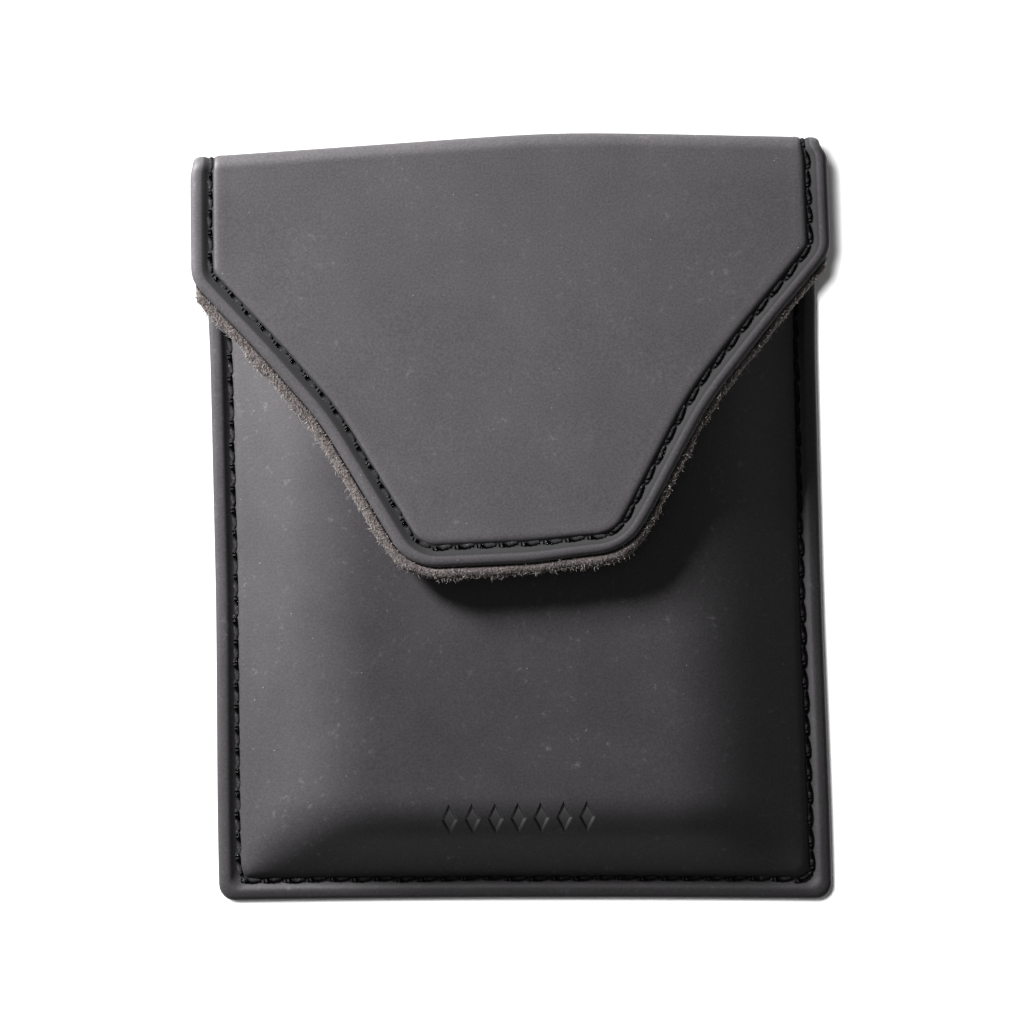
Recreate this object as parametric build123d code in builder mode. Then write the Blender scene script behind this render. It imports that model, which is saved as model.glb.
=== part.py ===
from build123d import *
import os
from math import atan, pi, sin, tan

os.makedirs("parts", exist_ok=True)

# Flat leather pouch with a fold-over flap, lying on its back. Lengths in mm.
# X runs across, Y runs up to the top fold, Z runs up through the layers.

# materials, thickness of one layer
leather_t = 1.2
lining_t = 0.6
board_t = 0.5

# pocket outline; a drop is measured down from the line where the back meets the fold
body_width = 88.0
case_length = 110.0
bottom_corner_r = 2.4
neck_flare = 1.2
neck_drop = 17.0
mouth_drop = 9.0

# moulded front, measured inwards from the edge of the outline
rim_width = 5.0
crown_inset = 11.5
pocket_depth = 4.8
rim_corner_r = 6.0
crown_corner_r = 4.0
crown_edge_r = 1.5

# flap outline; an inset is measured in from the flap's widest point
flap_flare = 0.3
shoulder_drop = 17.0
shoulder_r = 5.0
waist_inset = 17.5
waist_drop = 38.0
waist_r = 45.0
tip_inset = 29.8
tip_drop = 59.6
tip_r = 7.7
suede_edge = 1.4
suede_side_gap = 0.2
edge_round_r = 0.45

# fold over the top: two creases, each turning a right angle
fold_inner_r = 0.2
crease_gap = 0.03
flap_gap = 0.3

# seams: a flat band stands for each run of stitches, sunk in its own groove
seam_inset_body = 3.2
seam_inset_flap = 3.0
seam_inset_mouth = 3.0
seam_end_gap = 0.7
groove_w_flap = 1.3
groove_w_body = 1.0
groove_depth = 0.4
lining_groove_depth = 0.3
thread_w = 0.7
thread_t = 0.3
lining_thread_t = 0.2

# stiffeners and the hidden closure
back_board_inset = 8.0
back_pad_margin = 0.6
flap_board_inset = 5.0
flap_pad_margin = 0.6
magnet_r = 6.0
magnet_fit = 0.1
magnet_rise = 14.1

# how far a cutting shape runs past what it cuts
past = 1.0

# levels, from the table up
back_skin_top = leather_t
rim_lining_top = back_skin_top + lining_t
pad_top = rim_lining_top + board_t
front_skin_base = rim_lining_top + lining_t
rim_top = front_skin_base + leather_t
pocket_top = pad_top + pocket_depth
crown_lining_top = pocket_top + lining_t
crown_board_top = crown_lining_top + board_t
crown_top = crown_board_top + leather_t
flap_pad_base = crown_top + flap_gap
flap_pad_top = flap_pad_base + lining_t
flap_skin_base = flap_pad_top + board_t
flap_rim_base = flap_skin_base - lining_t
case_top = flap_skin_base + leather_t

# fold and hinge lines: a hinge sits so that the leather round a crease keeps its length
skin_inner_r = fold_inner_r + lining_t
fold_r = skin_inner_r + leather_t
crease_inset = fold_r - pi / 4 * (fold_r - leather_t / 2)
bottom_edge_y = -case_length / 2
top_fold_y = case_length / 2
fold_y = top_fold_y - fold_r
axis_y = top_fold_y - crease_inset
low_axis_z = crease_inset

# outlines, worked out from the fold
spine_width = body_width + 2 * neck_flare
flap_width = spine_width + 2 * flap_flare
neck_start_y = fold_y - neck_drop
mouth_y = fold_y - mouth_drop
shoulder_y = fold_y - shoulder_drop
waist_x = flap_width / 2 - waist_inset
waist_y = fold_y - waist_drop
tip_x = flap_width / 2 - tip_inset
tip_y = fold_y - tip_drop
magnet_y = tip_y + magnet_rise
spine_seam_x = spine_width / 2 - seam_inset_flap
mouth_seam_length = body_width - 2 * (crown_inset + crown_edge_r)

# slope of the moulded front
front_slope = atan((crown_top - rim_top) / (crown_inset - rim_width))


def front_inset(level, depth):
    """Distance in from the pocket's edge to the moulded slope at one level.

    depth is measured square to the leather, from its outer face."""
    run = (level - rim_top) / tan(front_slope)
    return rim_width + run + depth / sin(front_slope)


def pocket_outline(inset, level, end_y):
    """The pocket's outline at one level, brought in by inset, open at end_y."""
    side = body_width / 2
    flare_x = side + 2 * neck_flare
    reach_y = fold_y + (fold_y - neck_start_y)
    with BuildSketch(Plane.XY.offset(level)) as outline:
        with BuildLine():
            FilletPolyline(
                (flare_x, reach_y),
                (side, neck_start_y),
                (side, bottom_edge_y),
                (-side, bottom_edge_y),
                (-side, neck_start_y),
                (-flare_x, reach_y),
                radius=(0, bottom_corner_r, bottom_corner_r, 0),
            )
            Line((flare_x, reach_y), (-flare_x, reach_y))
        make_face()
        if inset:
            offset(amount=-inset, kind=Kind.INTERSECTION)
        with Locations((0, end_y)):
            Rectangle(
                2 * spine_width, case_length, align=(Align.CENTER, Align.MIN), mode=Mode.SUBTRACT
            )
    return outline.sketch


def pocket_seam(width, level, end_y):
    """The band of one width that runs round the pocket's seam, open at end_y."""
    with BuildSketch(Plane.XY.offset(level)) as band:
        add(pocket_outline(seam_inset_body - width / 2, level, end_y))
        add(pocket_outline(seam_inset_body + width / 2, level, end_y + past), mode=Mode.SUBTRACT)
    return band.sketch


def moulded_section(level, depth, end_y):
    """Section of the moulded front at one level, for a skin at that depth."""
    inset = front_inset(level, depth)
    low_y = bottom_edge_y + inset
    half = body_width / 2 - inset
    blend = (level - rim_top) / (crown_top - rim_top)
    corner_r = rim_corner_r + (crown_corner_r - rim_corner_r) * blend
    with BuildSketch(Plane.XY.offset(level)) as section:
        with BuildLine():
            FilletPolyline(
                (half, end_y), (half, low_y), (-half, low_y), (-half, end_y), radius=corner_r
            )
            Line((half, end_y), (-half, end_y))
        make_face()
    return section.sketch


def stiffener_outline(inset, level, end_y):
    """A plain tongue with rounded lower corners, brought in by inset from the pocket's edge."""
    half = body_width / 2 - inset
    low_y = bottom_edge_y + inset
    with BuildSketch(Plane.XY.offset(level)) as outline:
        with BuildLine():
            FilletPolyline(
                (half, end_y), (half, low_y), (-half, low_y), (-half, end_y), radius=rim_corner_r
            )
            Line((half, end_y), (-half, end_y))
        make_face()
    return outline.sketch


def flap_outline(grow, level, end_y):
    """The flap's outline at one level, grown by grow, open at end_y."""
    half = flap_width / 2
    reach_y = fold_y + (fold_y - shoulder_y)
    neck = half - 2 * flap_flare
    with BuildSketch(Plane.XY.offset(level)) as outline:
        with BuildLine():
            FilletPolyline(
                (neck, reach_y),
                (half, shoulder_y),
                (waist_x, waist_y),
                (tip_x, tip_y),
                (-tip_x, tip_y),
                (-waist_x, waist_y),
                (-half, shoulder_y),
                (-neck, reach_y),
                radius=(shoulder_r, waist_r, tip_r, tip_r, waist_r, shoulder_r),
            )
            Line((neck, reach_y), (-neck, reach_y))
        make_face()
        if grow:
            offset(amount=grow, kind=Kind.INTERSECTION)
        with Locations((0, end_y)):
            Rectangle(
                2 * spine_width, case_length, align=(Align.CENTER, Align.MIN), mode=Mode.SUBTRACT
            )
    return outline.sketch


def flap_seam(width, level, end_y):
    """The band of one width that runs round the flap's seam, open at end_y."""
    with BuildSketch(Plane.XY.offset(level)) as band:
        add(flap_outline(width / 2 - seam_inset_flap, level, end_y))
        add(flap_outline(-width / 2 - seam_inset_flap, level, end_y + past), mode=Mode.SUBTRACT)
    return band.sketch


def crease_half(outer_r, inner_r, steep):
    """Half of the lower crease in the YZ plane, seen along X.

    steep picks the half that climbs the spine, else the half that lies on the table."""
    if steep:
        corners = (
            (axis_y, low_axis_z + crease_gap),
            (top_fold_y + past, low_axis_z + crease_gap),
            (top_fold_y + past, fold_r),
            (fold_y, fold_r + crease_gap),
        )
    else:
        corners = (
            (axis_y - crease_gap, low_axis_z),
            (axis_y - crease_gap, -past),
            (fold_y, -past),
            (fold_y - crease_gap, fold_r),
        )
    with BuildSketch(Plane.YZ.offset(-spine_width / 2)) as half:
        with Locations((fold_y, fold_r)):
            Circle(outer_r)
            Circle(inner_r, mode=Mode.SUBTRACT)
        with BuildSketch(mode=Mode.INTERSECT):
            with BuildLine():
                Polyline(*corners, close=True)
            make_face()
    return half.sketch


def mirrored_up(shape):
    """The same shape on the upper crease."""
    return mirror(shape, about=Plane.XY.offset(case_top / 2), mode=Mode.PRIVATE)


# ---------------------------------------------------------------- pocket, back

with BuildPart() as back_panel:
    extrude(to_extrude=pocket_outline(0, 0, fold_y), amount=leather_t)
    extrude(to_extrude=crease_half(fold_r, skin_inner_r, False), amount=spine_width)
    extrude(to_extrude=pocket_seam(groove_w_body, 0, fold_y), amount=groove_depth, mode=Mode.SUBTRACT)
back_panel.part.label = "back_panel"
export_step(back_panel.part, "parts/back_panel.step")

with BuildPart() as back_board:
    extrude(
        to_extrude=stiffener_outline(back_board_inset, back_skin_top, mouth_y), amount=board_t
    )
back_board.part.label = "back_board"
export_step(back_board.part, "parts/back_board.step")

with BuildPart() as back_lining:
    extrude(to_extrude=pocket_outline(0, back_skin_top, fold_y), amount=lining_t)
    extrude(
        to_extrude=stiffener_outline(
            back_board_inset - back_pad_margin, rim_lining_top, mouth_y + back_pad_margin
        ),
        amount=board_t,
    )
    extrude(to_extrude=crease_half(skin_inner_r, fold_inner_r, False), amount=spine_width)
    extrude(
        to_extrude=stiffener_outline(back_board_inset, back_skin_top, mouth_y),
        amount=board_t,
        mode=Mode.SUBTRACT,
    )
    with BuildSketch(Plane.XY.offset(rim_lining_top)) as neck_grooves:
        add(pocket_seam(groove_w_body, rim_lining_top, fold_y))
        with Locations((0, mouth_y)):
            Rectangle(
                2 * spine_width, 2 * case_length, align=(Align.CENTER, Align.MAX), mode=Mode.SUBTRACT
            )
    extrude(to_extrude=neck_grooves.sketch, amount=-lining_groove_depth, mode=Mode.SUBTRACT)
back_lining.part.label = "back_lining"
export_step(back_lining.part, "parts/back_lining.step")

# --------------------------------------------------------------- pocket, front

with BuildPart() as front_panel:
    extrude(to_extrude=pocket_outline(0, front_skin_base, mouth_y), amount=leather_t)
    loft(
        [moulded_section(rim_top, 0, mouth_y), moulded_section(crown_top, 0, mouth_y)], ruled=True
    )
    crown_edges = front_panel.edges().filter_by_position(
        Axis.Z, crown_top, crown_top
    ).filter_by_position(Axis.Y, bottom_edge_y, mouth_y - past / 2)
    fillet(crown_edges, crown_edge_r)
    loft(
        [
            moulded_section(front_skin_base, leather_t, mouth_y + past),
            moulded_section(crown_board_top, leather_t, mouth_y + past),
        ],
        ruled=True,
        mode=Mode.SUBTRACT,
    )
    extrude(
        to_extrude=pocket_seam(groove_w_body, rim_top, mouth_y),
        amount=-groove_depth,
        mode=Mode.SUBTRACT,
    )
    with BuildSketch(Plane.XY.offset(crown_top)) as mouth_groove:
        with Locations((0, mouth_y - seam_inset_mouth)):
            Rectangle(mouth_seam_length, groove_w_body)
    extrude(to_extrude=mouth_groove.sketch, amount=-groove_depth, mode=Mode.SUBTRACT)
front_panel.part.label = "front_panel"
export_step(front_panel.part, "parts/front_panel.step")

with BuildPart() as front_board:
    loft(
        [
            moulded_section(crown_lining_top, leather_t, mouth_y),
            moulded_section(crown_board_top, leather_t, mouth_y),
        ],
        ruled=True,
    )
    with BuildSketch(Plane.XY.offset(crown_lining_top)) as body_magnet_seat:
        with Locations((0, magnet_y)):
            Circle(magnet_r + magnet_fit)
    extrude(to_extrude=body_magnet_seat.sketch, amount=board_t, mode=Mode.SUBTRACT)
front_board.part.label = "front_board"
export_step(front_board.part, "parts/front_board.step")

with BuildPart() as body_magnet:
    with BuildSketch(Plane.XY.offset(crown_lining_top)):
        with Locations((0, magnet_y)):
            Circle(magnet_r)
    extrude(amount=board_t)
body_magnet.part.label = "body_magnet"
export_step(body_magnet.part, "parts/body_magnet.step")

with BuildPart() as front_lining:
    extrude(to_extrude=pocket_outline(0, rim_lining_top, mouth_y), amount=lining_t)
    loft(
        [
            moulded_section(front_skin_base, leather_t, mouth_y),
            moulded_section(crown_lining_top, leather_t, mouth_y),
        ],
        ruled=True,
    )
    loft(
        [
            moulded_section(rim_lining_top, leather_t + lining_t, mouth_y + past),
            moulded_section(pocket_top, leather_t + lining_t, mouth_y + past),
        ],
        ruled=True,
        mode=Mode.SUBTRACT,
    )
    with BuildSketch(Plane.XY.offset(pocket_top)) as mouth_lining_groove:
        with Locations((0, mouth_y - seam_inset_mouth)):
            Rectangle(mouth_seam_length, groove_w_body)
    extrude(to_extrude=mouth_lining_groove.sketch, amount=lining_groove_depth, mode=Mode.SUBTRACT)
front_lining.part.label = "front_lining"
export_step(front_lining.part, "parts/front_lining.step")

# --------------------------------------------------------------- pocket, seams

with BuildPart() as body_needle_thread:
    extrude(to_extrude=pocket_seam(thread_w, rim_top - groove_depth, mouth_y), amount=thread_t)
body_needle_thread.part.label = "body_needle_thread"
export_step(body_needle_thread.part, "parts/body_needle_thread.step")

with BuildPart() as body_bobbin_thread:
    extrude(to_extrude=pocket_seam(thread_w, groove_depth - thread_t, fold_y), amount=thread_t)
body_bobbin_thread.part.label = "body_bobbin_thread"
export_step(body_bobbin_thread.part, "parts/body_bobbin_thread.step")

with BuildPart() as neck_thread_right:
    with BuildSketch(Plane.XY.offset(rim_lining_top - lining_groove_depth)) as neck_band:
        add(pocket_seam(thread_w, rim_lining_top - lining_groove_depth, fold_y))
        with Locations((0, mouth_y)):
            Rectangle(
                2 * spine_width, 2 * case_length, align=(Align.CENTER, Align.MAX), mode=Mode.SUBTRACT
            )
        with Locations((0, mouth_y)):
            Rectangle(
                spine_width, case_length, align=(Align.MAX, Align.CENTER), mode=Mode.SUBTRACT
            )
    extrude(to_extrude=neck_band.sketch, amount=lining_thread_t)
neck_thread_right.part.label = "neck_thread_right"
export_step(neck_thread_right.part, "parts/neck_thread_right.step")

with BuildPart() as neck_thread_left:
    add(mirror(neck_thread_right.part, about=Plane.YZ, mode=Mode.PRIVATE))
neck_thread_left.part.label = "neck_thread_left"
export_step(neck_thread_left.part, "parts/neck_thread_left.step")

with BuildPart() as mouth_needle_thread:
    with BuildSketch(Plane.XY.offset(crown_top - groove_depth)):
        with Locations((0, mouth_y - seam_inset_mouth)):
            Rectangle(mouth_seam_length - 2 * seam_end_gap, thread_w)
    extrude(amount=thread_t)
mouth_needle_thread.part.label = "mouth_needle_thread"
export_step(mouth_needle_thread.part, "parts/mouth_needle_thread.step")

with BuildPart() as mouth_bobbin_thread:
    with BuildSketch(Plane.XY.offset(pocket_top + lining_groove_depth)):
        with Locations((0, mouth_y - seam_inset_mouth)):
            Rectangle(mouth_seam_length - 2 * seam_end_gap, thread_w)
    extrude(amount=-lining_thread_t)
mouth_bobbin_thread.part.label = "mouth_bobbin_thread"
export_step(mouth_bobbin_thread.part, "parts/mouth_bobbin_thread.step")

# ----------------------------------------------------------------------- spine

with BuildPart() as spine_leather:
    with BuildSketch(Plane.XY.offset(fold_r)):
        with Locations((0, top_fold_y)):
            Rectangle(spine_width, leather_t, align=(Align.CENTER, Align.MAX))
    extrude(amount=case_top - 2 * fold_r)
    low_crease = extrude(to_extrude=crease_half(fold_r, skin_inner_r, True), amount=spine_width)
    add(mirrored_up(low_crease))
    for side in (-1, 1):
        with Locations((side * spine_seam_x, top_fold_y, case_top / 2)):
            Box(
                groove_w_flap,
                2 * groove_depth,
                case_top,
                mode=Mode.SUBTRACT,
            )
spine_leather.part.label = "spine_leather"
export_step(spine_leather.part, "parts/spine_leather.step")

with BuildPart() as spine_lining:
    with BuildSketch(Plane.XY.offset(fold_r)):
        with Locations((0, top_fold_y - leather_t)):
            Rectangle(spine_width, lining_t, align=(Align.CENTER, Align.MAX))
    extrude(amount=case_top - 2 * fold_r)
    low_lining_crease = extrude(
        to_extrude=crease_half(skin_inner_r, fold_inner_r, True), amount=spine_width
    )
    add(mirrored_up(low_lining_crease))
    for side in (-1, 1):
        with Locations((side * spine_seam_x, top_fold_y - leather_t - lining_t, case_top / 2)):
            Box(
                groove_w_body,
                2 * lining_groove_depth,
                case_top,
                mode=Mode.SUBTRACT,
            )
spine_lining.part.label = "spine_lining"
export_step(spine_lining.part, "parts/spine_lining.step")

spine_thread_y = top_fold_y - groove_depth + thread_t / 2
spine_lining_thread_y = (
    top_fold_y - leather_t - lining_t + lining_groove_depth - lining_thread_t / 2
)
spine_thread_length = case_top - 2 * fold_r

with BuildPart() as spine_thread_left:
    with Locations((-spine_seam_x, spine_thread_y, case_top / 2)):
        Box(thread_w, thread_t, spine_thread_length)
spine_thread_left.part.label = "spine_thread_left"
export_step(spine_thread_left.part, "parts/spine_thread_left.step")

with BuildPart() as spine_thread_right:
    with Locations((spine_seam_x, spine_thread_y, case_top / 2)):
        Box(thread_w, thread_t, spine_thread_length)
spine_thread_right.part.label = "spine_thread_right"
export_step(spine_thread_right.part, "parts/spine_thread_right.step")

with BuildPart() as spine_lining_thread_left:
    with Locations((-spine_seam_x, spine_lining_thread_y, case_top / 2)):
        Box(thread_w, lining_thread_t, spine_thread_length)
spine_lining_thread_left.part.label = "spine_lining_thread_left"
export_step(spine_lining_thread_left.part, "parts/spine_lining_thread_left.step")

with BuildPart() as spine_lining_thread_right:
    with Locations((spine_seam_x, spine_lining_thread_y, case_top / 2)):
        Box(thread_w, lining_thread_t, spine_thread_length)
spine_lining_thread_right.part.label = "spine_lining_thread_right"
export_step(spine_lining_thread_right.part, "parts/spine_lining_thread_right.step")

# ------------------------------------------------------------------------ flap

with BuildPart() as flap_panel:
    extrude(to_extrude=flap_outline(0, flap_skin_base, fold_y), amount=leather_t)
    bead_edges = flap_panel.edges().filter_by_position(
        Axis.Z, case_top, case_top
    ).filter_by_position(Axis.Y, tip_y - past, fold_y - past / 2)
    fillet(bead_edges, edge_round_r)
    extrude(
        to_extrude=mirrored_up(crease_half(fold_r, skin_inner_r, False)), amount=spine_width,
        dir=(1, 0, 0),
    )
    extrude(
        to_extrude=flap_seam(groove_w_flap, case_top, fold_y),
        amount=-groove_depth,
        mode=Mode.SUBTRACT,
    )
flap_panel.part.label = "flap_panel"
export_step(flap_panel.part, "parts/flap_panel.step")

with BuildPart() as flap_board:
    extrude(to_extrude=flap_outline(-flap_board_inset, flap_pad_top, mouth_y), amount=board_t)
    with BuildSketch(Plane.XY.offset(flap_pad_top)) as flap_magnet_seat:
        with Locations((0, magnet_y)):
            Circle(magnet_r + magnet_fit)
    extrude(to_extrude=flap_magnet_seat.sketch, amount=board_t, mode=Mode.SUBTRACT)
flap_board.part.label = "flap_board"
export_step(flap_board.part, "parts/flap_board.step")

with BuildPart() as flap_magnet:
    with BuildSketch(Plane.XY.offset(flap_pad_top)):
        with Locations((0, magnet_y)):
            Circle(magnet_r)
    extrude(amount=board_t)
flap_magnet.part.label = "flap_magnet"
export_step(flap_magnet.part, "parts/flap_magnet.step")

with BuildPart() as flap_lining:
    with BuildSketch(Plane.XY.offset(flap_rim_base)) as suede_outline:
        add(flap_outline(suede_edge, flap_rim_base, fold_y))
        Rectangle(flap_width - 2 * suede_side_gap, 2 * case_length, mode=Mode.INTERSECT)
    extrude(to_extrude=suede_outline.sketch, amount=lining_t)
    extrude(
        to_extrude=flap_outline(
            flap_pad_margin - flap_board_inset, flap_rim_base, mouth_y + flap_pad_margin
        ),
        amount=flap_pad_base - flap_rim_base,
    )
    extrude(
        to_extrude=mirrored_up(crease_half(skin_inner_r, fold_inner_r, False)),
        amount=spine_width,
        dir=(1, 0, 0),
    )
    extrude(
        to_extrude=flap_outline(-flap_board_inset, flap_pad_top, mouth_y),
        amount=board_t,
        mode=Mode.SUBTRACT,
    )
    extrude(
        to_extrude=flap_seam(groove_w_body, flap_rim_base, fold_y),
        amount=lining_groove_depth,
        mode=Mode.SUBTRACT,
    )
flap_lining.part.label = "flap_lining"
export_step(flap_lining.part, "parts/flap_lining.step")

with BuildPart() as flap_needle_thread:
    extrude(to_extrude=flap_seam(thread_w, case_top - groove_depth, fold_y), amount=thread_t)
flap_needle_thread.part.label = "flap_needle_thread"
export_step(flap_needle_thread.part, "parts/flap_needle_thread.step")

with BuildPart() as flap_bobbin_thread:
    extrude(
        to_extrude=flap_seam(thread_w, flap_rim_base + lining_groove_depth, fold_y),
        amount=-lining_thread_t,
    )
flap_bobbin_thread.part.label = "flap_bobbin_thread"
export_step(flap_bobbin_thread.part, "parts/flap_bobbin_thread.step")
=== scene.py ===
import math
import random

import bmesh
import bpy
from mathutils import Matrix, Vector, noise


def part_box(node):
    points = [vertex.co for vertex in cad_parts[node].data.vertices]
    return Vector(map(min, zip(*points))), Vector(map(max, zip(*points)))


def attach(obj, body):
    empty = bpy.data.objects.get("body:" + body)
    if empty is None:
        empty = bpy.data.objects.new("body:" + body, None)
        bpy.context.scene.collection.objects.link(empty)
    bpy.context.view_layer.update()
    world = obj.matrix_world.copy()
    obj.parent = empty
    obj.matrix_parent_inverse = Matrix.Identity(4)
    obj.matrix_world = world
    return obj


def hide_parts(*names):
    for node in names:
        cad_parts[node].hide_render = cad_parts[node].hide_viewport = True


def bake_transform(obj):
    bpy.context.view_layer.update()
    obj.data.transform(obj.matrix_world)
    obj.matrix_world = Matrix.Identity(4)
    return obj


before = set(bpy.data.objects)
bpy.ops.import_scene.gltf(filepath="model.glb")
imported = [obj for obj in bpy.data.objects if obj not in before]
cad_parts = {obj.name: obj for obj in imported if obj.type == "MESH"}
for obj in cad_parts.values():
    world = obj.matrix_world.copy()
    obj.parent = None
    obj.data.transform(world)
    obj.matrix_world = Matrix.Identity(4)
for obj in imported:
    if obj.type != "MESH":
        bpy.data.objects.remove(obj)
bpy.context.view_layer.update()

# Lengths below are millimetres in the row frame; MM turns them to metres when a mesh is finished.
MM = 0.001


def millimetres(node):
    """Lowest and highest corner of a CAD node, in millimetres."""
    low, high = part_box(node)
    return low / MM, high / MM


# ------------------------------------------------------------------ sizes from the frame

spine_high = millimetres("spine_leather")[1]
front_high = millimetres("front_panel")[1]
flap_low, flap_high = millimetres("flap_panel")
back_low = millimetres("back_panel")[0]
board_low, board_high = millimetres("front_board")
flap_board_high = millimetres("flap_board")[1]

CASE_TOP = flap_high.z
TOP_Y = spine_high.y
BOTTOM_Y = back_low.y
MOUTH_Y = front_high.y
CROWN_TOP = front_high.z
SPINE_HALF = spine_high.x
FLAP_HALF = flap_high.x
TIP_Y = flap_low.y

# ---------------------------------------------------------------- sizes of the leatherwork

LEATHER = 1.2
LINING = 0.6
BOARD = 0.5
FOLD_R = 2.0
NEUTRAL_R = FOLD_R - LEATHER / 2
FOLD_Y = TOP_Y - FOLD_R
FOLD_Z = CASE_TOP - FOLD_R
FOLD_ARC = math.pi / 2 * NEUTRAL_R
SPINE_MIDDLE = FOLD_Y + FOLD_ARC + FOLD_Z - CASE_TOP / 2

BODY_HALF = 44.0
NECK_START_Y = 36.0
RIM_Z = 2 * LEATHER + 2 * LINING
SEAM_FLAP = 2.85
SEAM_BODY = 2.95
SEAM_MOUTH = 3.0
STITCH_PITCH = 25.4 / 8
STITCH_LENGTH = STITCH_PITCH * 1.08
THREAD_WIDTH = 0.76
THREAD_HEIGHT = 0.50
THREAD_DIVE = 0.20
BOARD_BELOW_MOUTH = 4.6

# the blind-stamped row of lozenges low on the front
ROW_X = -0.8
ROW_Y = -43.1
LOZENGE_PITCH = 3.3
LOZENGE_HALF_WIDTH = 1.2
LOZENGE_HALF_HEIGHT = 2.4

# how far the hand-made case wanders from its pattern
FOLD_SLOPE = 0.0486
FOLD_PEAK_X = 8.0
BOTTOM_SKEW = 0.021
BOTTOM_HOLLOW = 0.3
WAIST = 0.012
PINCH_LEFT = 0.35
PINCH_RIGHT = 0.95
FLAP_SKEW = 0.021
FLAP_FLARE = 0.008
TIP_LIFT = 0.9
TIP_CURL = 1.2
FLAP_BOW = 0.45

# between these insets the flap's edge is darker: rubbed, with painted shade in the seam groove
GROOVE = (1.6, 3.4)

# spacing of the mesh along the outlines, and of its rows over the fold, which start at ROW_START_Y
STEP = 0.42
FOLD_STEP = 0.28
ROW_START_Y = 40.0
WELD = 0.0005


def smoothstep(t):
    t = min(1.0, max(0.0, t))
    return t * t * (3 - 2 * t)


# ------------------------------------------------------------------------ outlines


def run_in(corners, inset):
    """Corner points of the right half of an outline after each side has moved in by inset."""
    sides = []
    for a, b in zip(corners, corners[1:]):
        along = (Vector(b) - Vector(a)).normalized()
        inward = Vector((along.y, -along.x))
        sides.append((Vector(a) + inward * inset, along))
    first, along = sides[0]
    points = [first + along * ((corners[0][1] - first.y) / along.y)]
    for (p, u), (q, v) in zip(sides, sides[1:]):
        gap = q - p
        turn = u.x * v.y - u.y * v.x
        points.append(p + u * ((gap.x * v.y - gap.y * v.x) / turn))
    last, along = sides[-1]
    points.append(last - along * (last.x / along.x))
    return points


def half_outline(shape, inset):
    """Points down the right half of a shape's outline, brought in by inset.

    Every inset gives the same number of points, so that loops at different insets join up."""
    points = run_in(shape["corners"], inset)
    counts = iter(shape["counts"])
    path = []
    start = points[0]
    for i in range(1, len(points) - 1):
        u = (points[i] - points[i - 1]).normalized()
        v = (points[i + 1] - points[i]).normalized()
        turn = math.atan2(u.x * v.y - u.y * v.x, u.dot(v))
        side = math.copysign(1, turn)
        bend_r = max(shape["radii"][i - 1] + inset * side, shape["least_r"] + 0.25 * max(inset, 0))
        reach = bend_r * math.tan(abs(turn) / 2)
        bend_start = points[i] - u * reach
        count = next(counts)
        path += [start.lerp(bend_start, k / count) for k in range(count)]
        hub = bend_start + Vector((-u.y, u.x)) * side * bend_r
        count = next(counts)
        for k in range(count):
            spoke = (bend_start - hub).copy()
            spoke.rotate(Matrix.Rotation(turn * k / count, 2))
            path.append(hub + spoke)
        start = points[i] + v * reach
    count = next(counts)
    path += [start.lerp(points[-1], k / count) for k in range(count + 1)]
    return path


def outline_shape(corners, radii, rows=(), least_r=0.6):
    """An outline with its step counts. rows are the levels above the first corner, over the fold."""
    shape = {"corners": corners, "radii": radii, "least_r": least_r, "rows": list(rows)}
    shape["counts"] = [1] * (2 * len(radii) + 1)
    path = half_outline(shape, SEAM_FLAP)
    shape["counts"] = [max(2, round((b - a).length / STEP)) for a, b in zip(path, path[1:])]
    top, next_corner = Vector(corners[0]), Vector(corners[1])
    shape["lean"] = (top.x - next_corner.x) / (top.y - next_corner.y)
    return shape


def half_path(shape, inset):
    """Rows over the fold first, then the right half of the outline, from the top to the middle."""
    outline = half_outline(shape, inset)
    top = outline[0]
    over = [Vector((top.x + shape["lean"] * (y - top.y), y)) for y in shape["rows"]]
    return over + outline


def centre_path(shape, low_y):
    """Where the points of half_path end up when the loops close on the middle line."""
    outline = half_outline(shape, 0)
    rows = [Vector((0, y)) for y in shape["rows"]]
    length = [0.0]
    for a, b in zip(outline, outline[1:]):
        length.append(length[-1] + (b - a).length)
    top_y = outline[0].y
    return rows + [Vector((0, top_y + (low_y - top_y) * s / length[-1])) for s in length]


def whole(half):
    """Left half mirrored onto the right half, as one open run from top left round to top right."""
    left = [Vector((-p.x, *p[1:])) for p in half]
    return left + list(reversed(half[:-1]))


def rows_between(high_y, low_y, step):
    count = math.ceil((high_y - low_y) / step)
    return [high_y + (low_y - high_y) * k / count for k in range(count)]


# ----------------------------------------------------- shaping from the flat to the round


def over_fold(p):
    """Takes a point of the flat flap round the top fold and down the spine."""
    s = p.y - FOLD_Y
    if s <= 0:
        return p
    rho = p.z - FOLD_Z
    if s < FOLD_ARC:
        angle = s / NEUTRAL_R
        return Vector((p.x, FOLD_Y + rho * math.sin(angle), FOLD_Z + rho * math.cos(angle)))
    return Vector((p.x, FOLD_Y + rho, FOLD_Z - (s - FOLD_ARC)))


def lay_flap(p):
    """Lays the flap over the case: a little askew, bowed across, and curled up at its tip."""
    free = smoothstep((50 - p.y) / 12)
    tip = smoothstep((1 - p.y) / 8)
    curl = TIP_CURL * (max(0.0, 36 - p.y) / 42) ** 2
    x = p.x * (1 + FLAP_FLARE * smoothstep((p.y - 25) / 12))
    y = p.y + FLAP_SKEW * p.x * free + TIP_LIFT * tip * smoothstep(p.x / 13)
    z = p.z + curl - FLAP_BOW * free * (max(0.0, abs(p.x) - 14) / 31) ** 2
    return over_fold(Vector((x, y, z)))


def under_fold(p):
    """The same for the back, which comes up the spine from below."""
    turned = over_fold(Vector((p.x, p.y, CASE_TOP - p.z)))
    return Vector((turned.x, turned.y, CASE_TOP - turned.z))


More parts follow.
